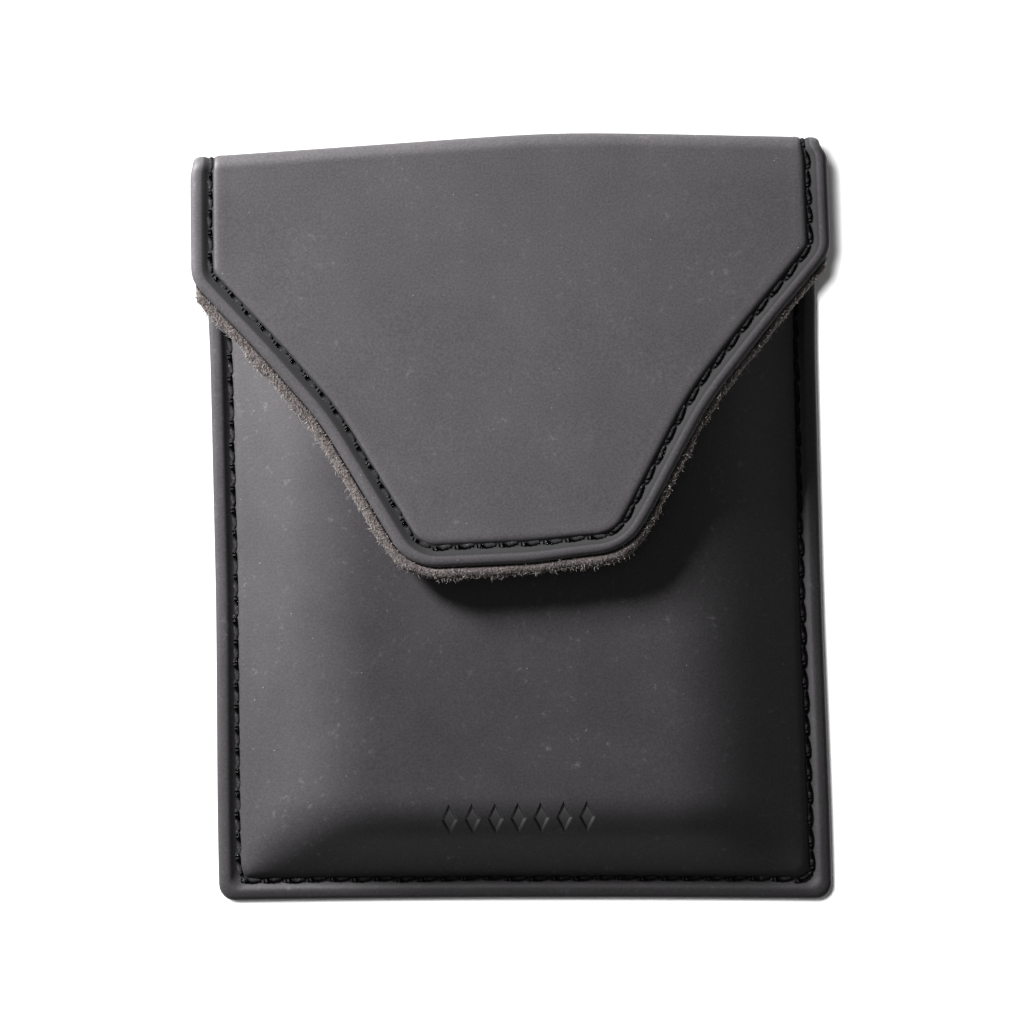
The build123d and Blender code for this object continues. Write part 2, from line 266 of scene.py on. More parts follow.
def settle(p):
    """The small ways in which the sewn case strays from its pattern."""
    arch = FOLD_SLOPE * (FOLD_PEAK_X - math.hypot(p.x - FOLD_PEAK_X, FOLD_PEAK_X))
    sag = -BOTTOM_SKEW * p.x - BOTTOM_HOLLOW * (p.x / BODY_HALF) ** 2
    y = p.y + arch * smoothstep((p.y - 40) / 14) + sag * smoothstep((-12 - p.y) / 40)
    flare = WAIST * smoothstep((-5 - p.y) / 45) - WAIST * 0.35 * smoothstep((34 - p.y) / 12)
    pinch = PINCH_LEFT if p.x < 0 else PINCH_RIGHT
    pinch *= smoothstep((abs(p.x) - 40) / 5) * smoothstep((p.y - 51) / 3.2) ** 2
    x = p.x * (1 + flare) - math.copysign(pinch, p.x)
    return Vector((x, y, p.z))


# --------------------------------------------------------------------- mesh helpers


def add_object(name, bm, material):
    """Finishes a bmesh, in millimetres, as an object in metres."""
    bmesh.ops.transform(bm, matrix=Matrix.Scale(MM, 4), verts=bm.verts)
    mesh = bpy.data.meshes.new(name)
    bm.to_mesh(mesh)
    bm.free()
    mesh.materials.append(material)
    obj = bpy.data.objects.new(name, mesh)
    bpy.context.scene.collection.objects.link(obj)
    return obj


def nested_skin(upper, lower, shape_point, wear_and_shade_loops=()):
    """A closed skin from loops that open upwards and nest inside each other.

    upper and lower both run from the edge to the middle line. The open top is bridged from the
    upper loops' ends to the lower ones'. The upper loops listed in wear_and_shade_loops get the
    attribute that darkens the sewn groove: a rubbed crease, with painted shade."""
    bm = bmesh.new()
    groove_wear_and_shade = bm.verts.layers.float.new("groove_wear_and_shade")
    loops = list(reversed(upper)) + lower
    row = [bm.verts.new(p) for p in loops[0]]
    below = set()
    for a, b in zip(row, row[1:]):
        bm.edges.new((a, b))
    for k, loop in enumerate(loops[1:], start=1):
        edges = [bm.edges.get(pair) for pair in zip(row, row[1:])]
        made = bmesh.ops.extrude_edge_only(bm, edges=edges)["geom"]
        fresh = {v for v in made if isinstance(v, bmesh.types.BMVert)}
        row = [next(e.other_vert(v) for e in v.link_edges if e.other_vert(v) in fresh) for v in row]
        if k >= len(upper):
            below.update((row[0], row[-1]))
        for v, p in zip(row, loop):
            v.co = p
            v[groove_wear_and_shade] = 1.0 if len(upper) - 1 - k in wear_and_shade_loops else 0.0
    bmesh.ops.remove_doubles(bm, verts=bm.verts, dist=WELD)
    bmesh.ops.dissolve_degenerate(bm, edges=bm.edges, dist=WELD / 5)
    rim = [e for e in bm.edges if e.is_boundary]
    below = {v for v in below if v.is_valid}
    sides = [e for e in rim if (e.verts[0] in below) == (e.verts[1] in below)]
    caps = bmesh.ops.bridge_loops(bm, edges=sides)["faces"]
    bmesh.ops.recalc_face_normals(bm, faces=bm.faces)
    for f in bm.faces:
        f.smooth = True
    for f in caps:
        f.smooth = False
    for e in rim:
        e.smooth = False
    for v in bm.verts:
        v.co = settle(shape_point(v.co))
    return bm


def loops_of(shape, profile, low_y, height, steps):
    """Loops of one face of a skin, from the profile's first inset to the middle line.

    profile is a list of (inset, level); height gives the level of a point nearer the middle."""
    loops = []
    for inset, level in profile:
        half = half_path(shape, inset)
        loops.append(whole([Vector((p.x, p.y, height(p.x, p.y, level))) for p in half]))
    outer = half_path(shape, profile[-1][0])
    centre = centre_path(shape, low_y)
    for k in range(1, steps + 1):
        t = (k / steps) ** 1.25
        half = [a.lerp(b, t) for a, b in zip(outer, centre)]
        loops.append(whole([Vector((p.x, p.y, height(p.x, p.y, None))) for p in half]))
    return loops


def closed_skin(
    shape, top, top_height, under, under_height, low_y, steps, shape_point, wear_and_shade=(0, 0)
):
    """A skin from its two faces: top runs from the edge inwards, under from the edge inwards.

    wear_and_shade gives the insets between which the outer face is darker: a rubbed crease, with
    painted shade in the groove."""
    upper = loops_of(shape, top, low_y, top_height, steps)
    lower = loops_of(shape, under, low_y, under_height, max(4, steps // 2))
    wear_and_shade_loops = {k for k, (inset, _) in enumerate(top) if wear_and_shade[0] < inset < wear_and_shade[1]}
    return nested_skin(upper, lower, shape_point, wear_and_shade_loops)


# -------------------------------------------------------------------------- materials


def colour(hex_value):
    """A screen colour such as 2b292a as linear red, green, blue and alpha."""
    parts = [int(hex_value[i : i + 2], 16) / 255 for i in (0, 2, 4)]
    return (*[c / 12.92 if c <= 0.04045 else ((c + 0.055) / 1.055) ** 2.4 for c in parts], 1.0)


def add_node(tree, kind, inputs=None, **settings):
    """Adds a node with its settings and the values or links of its inputs."""
    node = tree.nodes.new(kind)
    for key, value in settings.items():
        setattr(node, key, value)
    for key, value in (inputs or {}).items():
        socket = node.inputs[key]
        if isinstance(value, bpy.types.NodeSocket):
            tree.links.new(value, socket)
        else:
            socket.default_value = value
    return node


def new_material(name):
    material = bpy.data.materials.new(name)
    material.use_nodes = True
    material.node_tree.nodes.clear()
    return material, material.node_tree


def per_mm(size):
    """Pattern scale for a feature of that size in millimetres, on Object coordinates in metres."""
    return 1 / (size * MM)


def blended(tree, amount, low, high):
    """A colour that runs from low to high as amount runs from 0 to 1."""
    mix = add_node(tree, "ShaderNodeMix", {"Factor": amount}, data_type="RGBA")
    for socket, value in ((mix.inputs[6], low), (mix.inputs[7], high)):
        if isinstance(value, bpy.types.NodeSocket):
            tree.links.new(value, socket)
        else:
            socket.default_value = value
    return mix.outputs[2]


def lozenge_row(tree, place):
    """Height of a blind-stamped row of seven lozenges: 1 on the skin, 0 at the bottom of each."""
    apart = add_node(tree, "ShaderNodeSeparateXYZ", {"Vector": place}).outputs
    along = add_node(
        tree, "ShaderNodeMath", {0: apart["X"], 1: ROW_X * MM}, operation="SUBTRACT"
    ).outputs[0]
    cell = add_node(
        tree, "ShaderNodeMath", {0: along, 1: LOZENGE_PITCH * MM}, operation="DIVIDE"
    ).outputs[0]
    shifted = add_node(tree, "ShaderNodeMath", {0: cell, 1: 0.5}, operation="ADD").outputs[0]
    part = add_node(tree, "ShaderNodeMath", {0: shifted}, operation="FRACT").outputs[0]
    middle = add_node(tree, "ShaderNodeMath", {0: part, 1: 0.5}, operation="SUBTRACT").outputs[0]
    u = add_node(tree, "ShaderNodeMath", {0: middle}, operation="ABSOLUTE").outputs[0]
    across = add_node(
        tree, "ShaderNodeMath", {0: apart["Y"], 1: ROW_Y * MM}, operation="SUBTRACT"
    ).outputs[0]
    v = add_node(tree, "ShaderNodeMath", {0: across}, operation="ABSOLUTE").outputs[0]
    u_part = add_node(
        tree, "ShaderNodeMath", {0: u, 1: LOZENGE_PITCH / LOZENGE_HALF_WIDTH}, operation="MULTIPLY"
    ).outputs[0]
    reach = add_node(
        tree, "ShaderNodeMath", {0: v, 1: 1 / (LOZENGE_HALF_HEIGHT * MM), 2: u_part},
        operation="MULTIPLY_ADD",
    ).outputs[0]
    height = add_node(
        tree,
        "ShaderNodeMapRange",
        {"Value": reach, 1: 0.62, 2: 1.0, 3: 0.0, 4: 1.0},
        interpolation_type="SMOOTHSTEP",
    ).outputs[0]
    far = add_node(tree, "ShaderNodeMath", {0: along}, operation="ABSOLUTE").outputs[0]
    beyond = add_node(
        tree, "ShaderNodeMath", {0: far, 1: 3.5 * LOZENGE_PITCH * MM}, operation="GREATER_THAN"
    ).outputs[0]
    return add_node(
        tree, "ShaderNodeMath", {0: height, 1: beyond}, operation="MAXIMUM"
    ).outputs[0]


def calf_leather(name, dark, light, pore_tone, roughness, stamped=False):
    """Smooth black calf, drum dyed and lightly waxed: near black and satin.

    It shows a very fine pore, a little dust, faint scuffs, and darker sewn grooves: rubbed, with
    painted shade."""
    material, tree = new_material(name)
    place = add_node(tree, "ShaderNodeTexCoord").outputs["Object"]
    mottle = add_node(
        tree, "ShaderNodeTexNoise", {"Vector": place, "Scale": per_mm(9), "Detail": 4.0}
    ).outputs["Fac"]
    pores = add_node(
        tree, "ShaderNodeTexVoronoi", {"Vector": place, "Scale": per_mm(0.45)}, feature="F1"
    ).outputs["Distance"]
    grain = add_node(
        tree, "ShaderNodeTexNoise", {"Vector": place, "Scale": per_mm(0.30), "Detail": 4.0}
    ).outputs["Fac"]
    drum_dye = blended(tree, mottle, colour(dark), colour(light))
    grain_tone = add_node(
        tree, "ShaderNodeMapRange", {"Value": grain, 1: 0.30, 2: 0.70, 3: 0.05, 4: 0.45}
    ).outputs[0]
    dye = blended(tree, grain_tone, drum_dye, colour(pore_tone))
    scratches = add_node(
        tree,
        "ShaderNodeTexNoise",
        {"Vector": place, "Scale": per_mm(1.3), "Detail": 7.0, "Roughness": 0.75},
    ).outputs["Fac"]
    scuffed = add_node(
        tree, "ShaderNodeMapRange", {"Value": scratches, 1: 0.58, 2: 0.72, 3: 0.0, 4: 0.5}
    ).outputs[0]
    where = add_node(
        tree, "ShaderNodeMapRange", {"Value": mottle, 1: 0.44, 2: 0.60, 3: 0.25, 4: 1.0}
    ).outputs[0]
    scuff = add_node(
        tree, "ShaderNodeMath", {0: scuffed, 1: where}, operation="MULTIPLY"
    ).outputs[0]
    dye = blended(tree, scuff, dye, colour("6f6c6f"))
    speck_field = add_node(
        tree, "ShaderNodeTexVoronoi", {"Vector": place, "Scale": per_mm(1.8)}, feature="F1"
    )
    speck_size = add_node(
        tree,
        "ShaderNodeMapRange",
        {"Value": speck_field.outputs["Distance"], 1: 0.045, 2: 0.025, 3: 0.0, 4: 1.0},
    ).outputs[0]
    rare = add_node(
        tree,
        "ShaderNodeMath",
        {0: speck_field.outputs["Color"], 1: 0.62},
        operation="GREATER_THAN",
    ).outputs[0]
    speck = add_node(
        tree, "ShaderNodeMath", {0: speck_size, 1: rare}, operation="MULTIPLY"
    ).outputs[0]
    dust = add_node(
        tree, "ShaderNodeMath", {0: speck, 1: 0.5}, operation="MULTIPLY"
    ).outputs[0]
    dust_and_painted_shade = blended(tree, dust, dye, colour("b4b0b2"))
    # The groove mask takes the sewn groove most of the way to near black and makes it rougher: painted
    # shade in the groove, with some real rubbing.
    wear_and_shade = add_node(tree, "ShaderNodeAttribute", attribute_name="groove_wear_and_shade").outputs["Fac"]
    edge = add_node(tree, "ShaderNodeMath", {0: wear_and_shade, 1: 0.85}, operation="MULTIPLY").outputs[0]
    dust_and_painted_shade = blended(tree, edge, dust_and_painted_shade, colour("0a090b"))
    satin = add_node(
        tree,
        "ShaderNodeMapRange",
        {"Value": mottle, 1: 0.3, 2: 0.7, 3: roughness - 0.04, 4: roughness + 0.04},
    ).outputs[0]
    rough = add_node(
        tree, "ShaderNodeMath", {0: wear_and_shade, 1: 0.25, 2: satin}, operation="MULTIPLY_ADD"
    ).outputs[0]
    bump = add_node(
        tree, "ShaderNodeBump", {"Strength": 0.12, "Distance": 0.03 * MM, "Height": pores}
    ).outputs["Normal"]
    bump = add_node(
        tree,
        "ShaderNodeBump",
        {"Strength": 0.3, "Distance": 0.02 * MM, "Height": grain, "Normal": bump},
    ).outputs["Normal"]
    if stamped:
        row = lozenge_row(tree, place)
        bump = add_node(
            tree,
            "ShaderNodeBump",
            {"Strength": 1.0, "Distance": 0.8 * MM, "Height": row, "Normal": bump},
        ).outputs["Normal"]
        # Lighter grey at the bottoms of the lozenges, near black on their walls: the dark walls are
        # painted shade in the stamped recesses, with some scorch of the hot stamp.
        dust_and_painted_shade = blended(tree, row, colour("3f3d3f"), dust_and_painted_shade)
        wall = add_node(tree, "ShaderNodeMath", {0: row, 1: 0.5}, operation="PINGPONG").outputs[0]
        scorch_and_painted_shade = add_node(tree, "ShaderNodeMath", {0: wall, 1: 1.7}, operation="MULTIPLY").outputs[0]
        dust_and_painted_shade = blended(tree, scorch_and_painted_shade, dust_and_painted_shade, colour("050405"))
    shader = add_node(
        tree,
        "ShaderNodeBsdfPrincipled",
        {"Base Color": dust_and_painted_shade, "Roughness": rough, "IOR": 1.5, "Normal": bump},
    )
    add_node(tree, "ShaderNodeOutputMaterial", {"Surface": shader.outputs[0]})
    return material


def raw_suede(name, hollow, ends_tone, worn_tone):
    """Flesh side of split leather, unfinished: a fuzzy mat of grey-brown fibre ends."""
    material, tree = new_material(name)
    place = add_node(tree, "ShaderNodeTexCoord").outputs["Object"]
    nap = add_node(
        tree, "ShaderNodeTexNoise", {"Vector": place, "Scale": per_mm(0.32), "Detail": 5.0}
    ).outputs["Fac"]
    patches = add_node(
        tree, "ShaderNodeTexNoise", {"Vector": place, "Scale": per_mm(3.5), "Detail": 2.0}
    ).outputs["Fac"]
    ends = add_node(
        tree, "ShaderNodeMapRange", {"Value": nap, 1: 0.36, 2: 0.66, 3: 0.0, 4: 1.0}
    ).outputs[0]
    mat = blended(tree, ends, colour(hollow), colour(ends_tone))
    worn = blended(tree, patches, mat, colour(worn_tone))
    bump = add_node(
        tree, "ShaderNodeBump", {"Strength": 0.9, "Distance": 0.15 * MM, "Height": nap}
    ).outputs["Normal"]
    shader = add_node(
        tree,
        "ShaderNodeBsdfPrincipled",
        {"Base Color": worn, "Roughness": 0.95, "Sheen Weight": 0.06, "Normal": bump},
    )
    add_node(tree, "ShaderNodeOutputMaterial", {"Surface": shader.outputs[0]})
    return material


def waxed_thread(name):
    """Twisted polyester sewing thread, waxed: dull black, with a few paler loose filaments."""
    material, tree = new_material(name)
    place = add_node(tree, "ShaderNodeTexCoord").outputs["Object"]
    fibre = add_node(
        tree, "ShaderNodeTexNoise", {"Vector": place, "Scale": per_mm(0.12), "Detail": 2.0}
    ).outputs["Fac"]
    loose = add_node(
        tree, "ShaderNodeTexNoise", {"Vector": place, "Scale": per_mm(0.35), "Detail": 3.0}
    ).outputs["Fac"]
    fluff = add_node(
        tree, "ShaderNodeMapRange", {"Value": loose, 1: 0.60, 2: 0.70, 3: 0.0, 4: 0.8}
    ).outputs[0]
    dye = blended(tree, fibre, colour("0c0c0d"), colour("1c1b1e"))
    dye = blended(tree, fluff, dye, colour("454346"))
    bump = add_node(
        tree, "ShaderNodeBump", {"Strength": 0.5, "Distance": 0.04 * MM, "Height": fibre}
    ).outputs["Normal"]
    shader = add_node(
        tree,
        "ShaderNodeBsdfPrincipled",
        {"Base Color": dye, "Roughness": 0.85, "Specular IOR Level": 0.15, "Normal": bump},
    )
    add_node(tree, "ShaderNodeOutputMaterial", {"Surface": shader.outputs[0]})
    return material


def leather_board(name):
    """Bonded leather board: pressed brown fibre sheet."""
    material, tree = new_material(name)
    place = add_node(tree, "ShaderNodeTexCoord").outputs["Object"]
    flecks = add_node(
        tree, "ShaderNodeTexNoise", {"Vector": place, "Scale": per_mm(0.6), "Detail": 4.0}
    ).outputs["Fac"]
    pulp = blended(tree, flecks, colour("6a4f38"), colour("97795a"))
    shader = add_node(
        tree, "ShaderNodeBsdfPrincipled", {"Base Color": pulp, "Roughness": 0.85}
    )
    add_node(tree, "ShaderNodeOutputMaterial", {"Surface": shader.outputs[0]})
    return material


def nickel_plate(name):
    """Nickel plate over a sintered magnet: bright, faintly brushed metal."""
    material, tree = new_material(name)
    place = add_node(tree, "ShaderNodeTexCoord").outputs["Object"]
    swirl = add_node(
        tree, "ShaderNodeTexNoise", {"Vector": place, "Scale": per_mm(1.5), "Detail": 3.0}
    ).outputs["Fac"]
    rough = add_node(
        tree, "ShaderNodeMapRange", {"Value": swirl, 1: 0.3, 2: 0.7, 3: 0.18, 4: 0.32}
    ).outputs[0]
    shader = add_node(
        tree,
        "ShaderNodeBsdfPrincipled",
        {"Base Color": colour("c4c1ba"), "Metallic": 1.0, "Roughness": rough},
    )
    add_node(tree, "ShaderNodeOutputMaterial", {"Surface": shader.outputs[0]})
    return material


def seamless_paper(name):
    """Matt white background paper."""
    material, tree = new_material(name)
    shader = add_node(
        tree, "ShaderNodeBsdfPrincipled", {"Base Color": colour("fbfbfb"), "Roughness": 0.9}
    )
    add_node(tree, "ShaderNodeOutputMaterial", {"Surface": shader.outputs[0]})
    return material


leather = calf_leather("black_calf_leather", "2c2a2c", "383538", "575457", 0.60)
# The front's copy of the calf has a darker dye than the flap's: painted shade, so that the front reads
# darker than the flap; its lower roughness is a glossier finish.
front_leather = calf_leather(
    "front_black_calf_with_painted_shade", "201e20", "2a282a", "444144", 0.54, stamped=True
)
suede = raw_suede("raw_split_suede", "1d1a1a", "7a726f", "433c3b")
# A paler copy of the lining suede for the edge fibres: painted light where the raw edge catches the
# lamp, with some paler loose fibre ends.
frayed_suede = raw_suede("frayed_split_suede_painted_light", "4a4442", "b0a8a4", "6e6664")
thread = waxed_thread("waxed_polyester_thread")
board = leather_board("bonded_leather_board")
nickel = nickel_plate("nickel_plate")

# -------------------------------------------------------------------------- the flap

FLAP_CORNERS = [
    (SPINE_HALF + 0.23, ROW_START_Y),
    (FLAP_HALF + 0.03, 36.0),
    (28.0, 15.0),
    (15.7, TIP_Y),
    (0.0, TIP_Y),
]
FLAP_RADII = (5.0, 45.0, 7.7)
fold_rows = rows_between(SPINE_MIDDLE, FOLD_Y - 2.5, FOLD_STEP)
flap_shape = outline_shape(
    FLAP_CORNERS, FLAP_RADII, fold_rows + rows_between(FOLD_Y - 2.5, ROW_START_Y, STEP)
)


def ripple(x, y, depth, size):
    """Slow unevenness of soft leather."""
    return depth * noise.noise(Vector((x / size, y / size, 3.7)))


def flap_face(x, y, level):
    """Level of the flap's outer face: the given profile, or the flat middle."""
    base = CASE_TOP if level is None else level
    return base + ripple(x, y, 0.10, 26)


def flap_flesh(x, y, level):
    return (CASE_TOP - LEATHER) if level is None else level


# from the turned edge inwards: flat-topped bead, slope into the seam, lip, flat middle
FLAP_EDGE = [
    (0.10, CASE_TOP - 1.12),
    (0.0, CASE_TOP - 0.90),
    (0.02, CASE_TOP - 0.60),
    (0.14, CASE_TOP - 0.33),
    (0.36, CASE_TOP - 0.13),
    (0.70, CASE_TOP - 0.01),
    (1.10, CASE_TOP + 0.05),
    (1.45, CASE_TOP + 0.03),
    (1.72, CASE_TOP - 0.01),
    (1.95, CASE_TOP - 0.07),
    (2.20, CASE_TOP - 0.16),
    (2.50, CASE_TOP - 0.28),
    (2.85, CASE_TOP - 0.35),
    (3.10, CASE_TOP - 0.31),
    (3.30, CASE_TOP - 0.20),
    (3.50, CASE_TOP - 0.08),
    (3.80, CASE_TOP + 0.00),
    (4.20, CASE_TOP + 0.04),
    (5.00, CASE_TOP),
]
FLAP_UNDER = [(0.45, CASE_TOP - LEATHER), (2.0, CASE_TOP - LEATHER), (5.0, CASE_TOP - LEATHER)]

flap_leather = add_object(
    "flap_and_spine_leather",
    closed_skin(
        flap_shape, FLAP_EDGE, flap_face, FLAP_UNDER, flap_flesh, 8.0, 16, lay_flap, GROOVE
    ),
    leather,
)
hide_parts("flap_panel", "spine_leather")

# ------------------------------------------------------------------------- flap lining

SUEDE_OUT = 1.62
FIBRE_COUNT = 3200
FLAP_LINING_TOP = CASE_TOP - LEATHER
FLAP_LINING_RIM = FLAP_LINING_TOP - LINING
FLAP_PAD = FLAP_LINING_RIM - BOARD


def suede_clip(p):
    """Keeps the lining behind the bead on the straight shoulders, and lays it over the case with the
    flap.
    """
    out = max(0.0, abs(p.x) - (FLAP_HALF - 0.6))
    x = p.x - math.copysign(out, p.x)
    z = min(p.z, FLAP_LINING_TOP + 2 * max(0.0, 0.35 - out))
    return lay_flap(Vector((x, p.y, z)))


def ragged(points, depth):
    """Moves the points of a cut edge in and out as a raw edge wanders, trimmed closer on the right."""
    moved = []
    for p in points:
        free = smoothstep((38 - p.y) / 4)
        outward = Vector((p.x, -12, 0)).normalized()
        trimmed = 0.75 * free * smoothstep((p.x - 15) / 9)
        tug = depth * free * (
            noise.noise(Vector((p.x / 3.1, p.y / 3.1, 1.3)))
            + 0.8 * noise.noise(Vector((p.x / 0.7, p.y / 0.7, 7.1)))
        )
        moved.append(p - outward * (tug + trimmed))
    return moved


def flap_lining_under(x, y, level):
    base = FLAP_PAD if level is None else level
    into_fold = smoothstep((y - 44.5) / 1.5)
    return base + (FLAP_LINING_RIM - base) * into_fold


def flap_lining_top(x, y, level):
    return FLAP_LINING_TOP - 0.02 if level is None else level


SUEDE_TOP = [
    (-SUEDE_OUT + 0.06, FLAP_LINING_TOP + 0.10),
    (-SUEDE_OUT + 0.22, FLAP_LINING_TOP + 0.45),
    (-SUEDE_OUT + 0.50, FLAP_LINING_TOP + 0.68),
    (-0.62, FLAP_LINING_TOP + 0.74),
    (-0.28, FLAP_LINING_TOP + 0.70),
    (-0.12, FLAP_LINING_TOP + 0.55),
    (-0.05, FLAP_LINING_TOP - 0.02),
    (2.0, FLAP_LINING_TOP - 0.02),
]
SUEDE_UNDER = [
    (-SUEDE_OUT, FLAP_LINING_TOP - 0.20),
    (-SUEDE_OUT + 0.10, FLAP_LINING_TOP - 0.45),
    (-SUEDE_OUT + 0.35, FLAP_LINING_RIM + 0.02),
    (0.0, FLAP_LINING_RIM),
    (2.3, FLAP_LINING_RIM),
    (2.6, FLAP_LINING_RIM + 0.18),
    (3.1, FLAP_LINING_RIM + 0.18),
    (3.4, FLAP_LINING_RIM),
    (4.4, FLAP_LINING_RIM - 0.05),
    (5.2, FLAP_PAD + 0.05),
    (6.0, FLAP_PAD),
]


def lining_skin():
    upper = loops_of(flap_shape, SUEDE_TOP, 8.0, flap_lining_top, 6)
    lower = loops_of(flap_shape, SUEDE_UNDER, 8.0, flap_lining_under, 8)
    for loops, count in ((upper, 4), (lower, 3)):
        for k in range(count):
            loops[k] = ragged(loops[k], 0.35)
    return nested_skin(upper, lower, suede_clip)


flap_suede = add_object("flap_and_spine_lining", lining_skin(), suede)
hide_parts("flap_lining", "spine_lining")

flap_board_shape = outline_shape([(FLAP_HALF, flap_board_high.y)] + FLAP_CORNERS[1:], FLAP_RADII)
flap_stiffener = add_object(
    "flap_stiffener",
    closed_skin(
        flap_board_shape,
        [(5.0, 0), (9.0, 0)],
        lambda x, y, level: FLAP_LINING_TOP - 0.03,
        [(5.0, 0), (9.0, 0)],
        lambda x, y, level: FLAP_LINING_TOP - BOARD,
        8.0,
        8,
        lay_flap,
    ),
    board,
)
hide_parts("flap_board")
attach(flap_stiffener, "flap")


def magnet_disc(low, high):
    """A thin disc between two corners of a CAD box, with its rims just broken."""
    bm = bmesh.new()
    bmesh.ops.create_circle(bm, cap_ends=True, segments=64, radius=(high.x - low.x) / 2)
    bmesh.ops.translate(bm, vec=((low.x + high.x) / 2, (low.y + high.y) / 2, low.z), verts=bm.verts)
    made = bmesh.ops.extrude_face_region(bm, geom=list(bm.faces))["geom"]
    lifted = [v for v in made if isinstance(v, bmesh.types.BMVert)]
    bmesh.ops.translate(bm, vec=(0, 0, high.z - low.z), verts=lifted)
    rims = [e for e in bm.edges if abs(e.verts[0].co.z - e.verts[1].co.z) < 0.01]
    bmesh.ops.bevel(bm, geom=rims, offset=0.08, segments=2, affect="EDGES")
    bmesh.ops.recalc_face_normals(bm, faces=bm.faces)
    return bm


def flap_magnet_disc():
    bm = magnet_disc(*millimetres("flap_magnet"))
    for v in bm.verts:
        v.co = settle(lay_flap(v.co))
    return bm


flap_disc = add_object("flap_magnet_disc", flap_magnet_disc(), nickel)
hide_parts("flap_magnet")
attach(flap_disc, "flap")

# ------------------------------------------------------------------------ pocket, back

BODY_CORNERS = [
    (BODY_HALF + 0.28, ROW_START_Y),
    (BODY_HALF, NECK_START_Y),
    (BODY_HALF, BOTTOM_Y),
    (0.0, BOTTOM_Y),
]
BODY_RADII = (30.0, 2.4)
back_shape = outline_shape(
    BODY_CORNERS, BODY_RADII, fold_rows + rows_between(FOLD_Y - 2.5, ROW_START_Y, STEP)
)

# the back's outer face lies on the table, so nothing on it stands below level 0
BACK_EDGE = [
    (0.25, LEATHER - 0.04),
    (0.05, LEATHER - 0.22),
    (0.0, LEATHER - 0.50),
    (0.06, 0.40),
    (0.26, 0.16),
    (0.60, 0.03),
    (1.00, 0.0),
    (1.45, 0.03),
    (1.85, 0.10),
    (2.20, 0.20),
    (2.50, 0.31),
    (2.75, 0.37),
    (2.95, 0.38),
    (3.20, 0.31),
    (3.45, 0.12),
    (3.80, 0.02),
    (4.40, 0.0),
    (6.00, 0.0),
]
BACK_UNDER = [(0.6, LEATHER), (3.0, LEATHER), (6.0, LEATHER)]


def back_face(x, y, level):
    return 0.0 if level is None else level


def back_flesh(x, y, level):
    return LEATHER if level is None else level


back_leather = add_object(
    "back_and_spine_leather",
    closed_skin(back_shape, BACK_EDGE, back_face, BACK_UNDER, back_flesh, -38.0, 14, under_fold),
    leather,
)
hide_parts("back_panel", "spine_leather")

RIM_LINING_TOP = LEATHER + LINING


def back_lining_top(x, y, level):
    if level is not None:
        return level
    return RIM_LINING_TOP + BOARD * (1 - smoothstep((y - 44.6) / 1.2))


def back_lining_under(x, y, level):
    return LEATHER + 0.01


back_suede = add_object(
    "back_and_spine_lining",
    closed_skin(
        back_shape,
        [
            (0.25, RIM_LINING_TOP - 0.05),
            (0.7, RIM_LINING_TOP),
            (2.65, RIM_LINING_TOP),
            (2.95, RIM_LINING_TOP - 0.2),
            (3.25, RIM_LINING_TOP),
            (7.2, RIM_LINING_TOP),
        ],
        back_lining_top,
        [(0.2, LEATHER + 0.01), (6.0, LEATHER + 0.01)],
        back_lining_under,
        -38.0,
        12,
        under_fold,
    ),
    suede,
)
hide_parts("back_lining", "spine_lining")

# ----------------------------------------------------------------------- pocket, front

front_shape = outline_shape(
    [
        (BODY_HALF + 0.5 * (MOUTH_Y - NECK_START_Y) / 8, MOUTH_Y),
        (BODY_HALF, NECK_START_Y),
        (BODY_HALF, BOTTOM_Y),
        (0.0, BOTTOM_Y),
    ],
    BODY_RADII,
    least_r=1.0,
)
DOME_START = 3.5


def shoulder(distance, width, straight):
    """Rise of the crown from 0 to 1: an even slope at first, then rounding over to the flat."""
    t = min(1.0, max(0.0, distance / width))
    over = max(0.0, t - straight)
    return 2 / (1 + straight) * (t - over * over / (2 - 2 * straight))


def dome(x, y):
    """Level of the moulded crown, fullest to the right of the middle and under the flap's tip."""
    left = shoulder(BODY_HALF + x - DOME_START, 23.0, 0.52)
    right = shoulder(BODY_HALF - x - DOME_START, 19.0, 0.34)
    low = shoulder(y - BOTTOM_Y - DOME_START, 11.5, 0.45)
    across = left * right
    rise = across * low / max(across + low - across * low, 0.0001)
    return RIM_Z + (CROWN_TOP - RIM_Z) * rise + ripple(x, y, 0.12, 22) * rise


def front_face(x, y, level):
    rise = dome(x, y)
    return rise if level is None else level + rise - RIM_Z


def front_flesh(x, y, level):
    rise = dome(x, y)
    return rise - LEATHER - 0.15 * smoothstep((rise - RIM_Z) / 3)


# turned edge that leans outwards, slope into the seam, then the foot of the crown
FRONT_EDGE = [
    (0.22, RIM_Z - 1.10),
    (0.04, RIM_Z - 0.95),
    (0.0, RIM_Z - 0.65),
    (0.03, RIM_Z - 0.38),
    (0.14, RIM_Z - 0.17),
    (0.36, RIM_Z - 0.02),
    (0.70, RIM_Z + 0.08),
    (1.10, RIM_Z + 0.15),
    (1.42, RIM_Z + 0.18),
    (1.66, RIM_Z + 0.15),
    (1.86, RIM_Z + 0.06),
    (2.06, RIM_Z - 0.06),
    (2.26, RIM_Z - 0.17),
    (2.48, RIM_Z - 0.27),
    (2.72, RIM_Z - 0.36),
    (2.95, RIM_Z - 0.40),
    (3.15, RIM_Z - 0.32),
    (3.35, RIM_Z - 0.08),
    (3.62, RIM_Z + 0.07),
    (4.40, RIM_Z + 0.05),
    (6.20, RIM_Z),
]
FRONT_UNDER = [(0.6, RIM_Z - LEATHER), (4.0, RIM_Z - LEATHER), (6.5, RIM_Z - LEATHER)]

